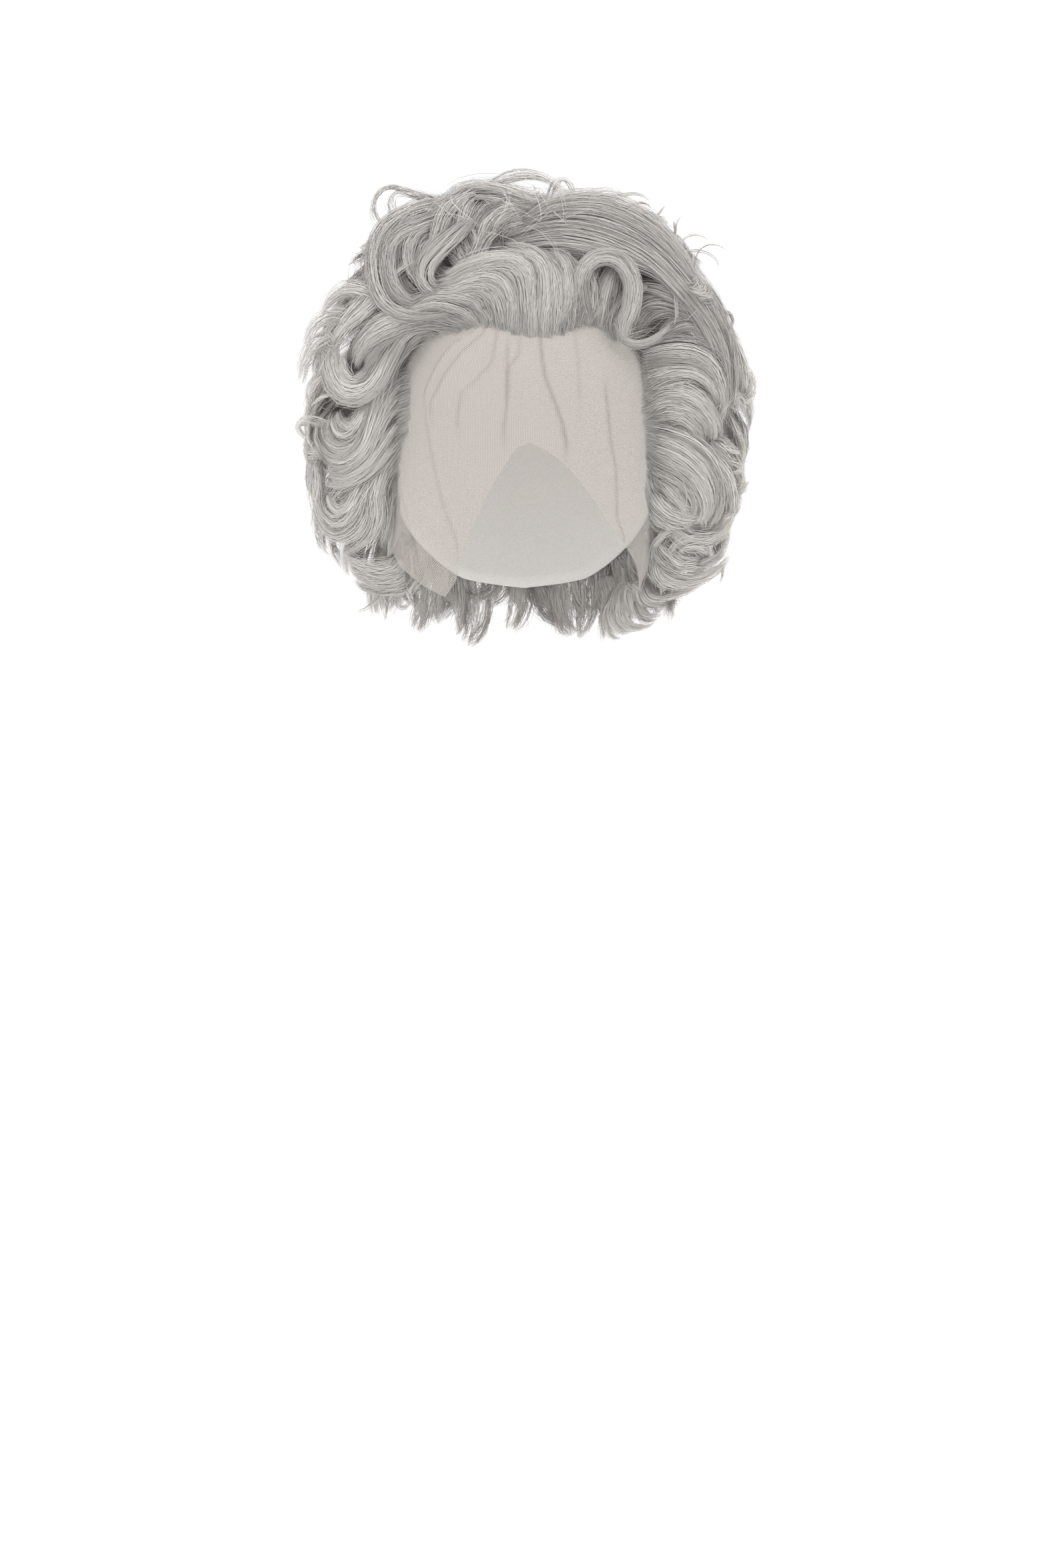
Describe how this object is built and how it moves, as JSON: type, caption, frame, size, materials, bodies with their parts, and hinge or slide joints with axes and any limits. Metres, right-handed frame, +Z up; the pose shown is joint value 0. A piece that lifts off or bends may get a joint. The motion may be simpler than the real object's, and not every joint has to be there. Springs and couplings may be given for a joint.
{
  "type": "lace front wig",
  "caption": "Short curly silver-grey wig: swept, layered locks on a stretch net cap, with a sheer lace front sheet hanging untrimmed over the face.",
  "frame": {"origin": "top of the head that the wig is made for: the inside of the cap at the crown", "axes": "+Z up out of the crown, -Y the way the wearer faces, +X the wearer's left"},
  "size_m": [0.271, 0.2507, 0.2798],
  "materials": {
    "cap_net": "fine stretch net",
    "lace": "sheer hexagonal net",
    "hair": "soft sheen"
  },
  "bodies": {
    "root": {"wig_cap": "cap_net", "lace_front": "lace", "hair_front": "hair", "hair_left": "hair", "hair_right": "hair", "hair_crown": "hair", "hair_back": "hair", "hair_nape": "hair"}
  },
  "joints": []
}
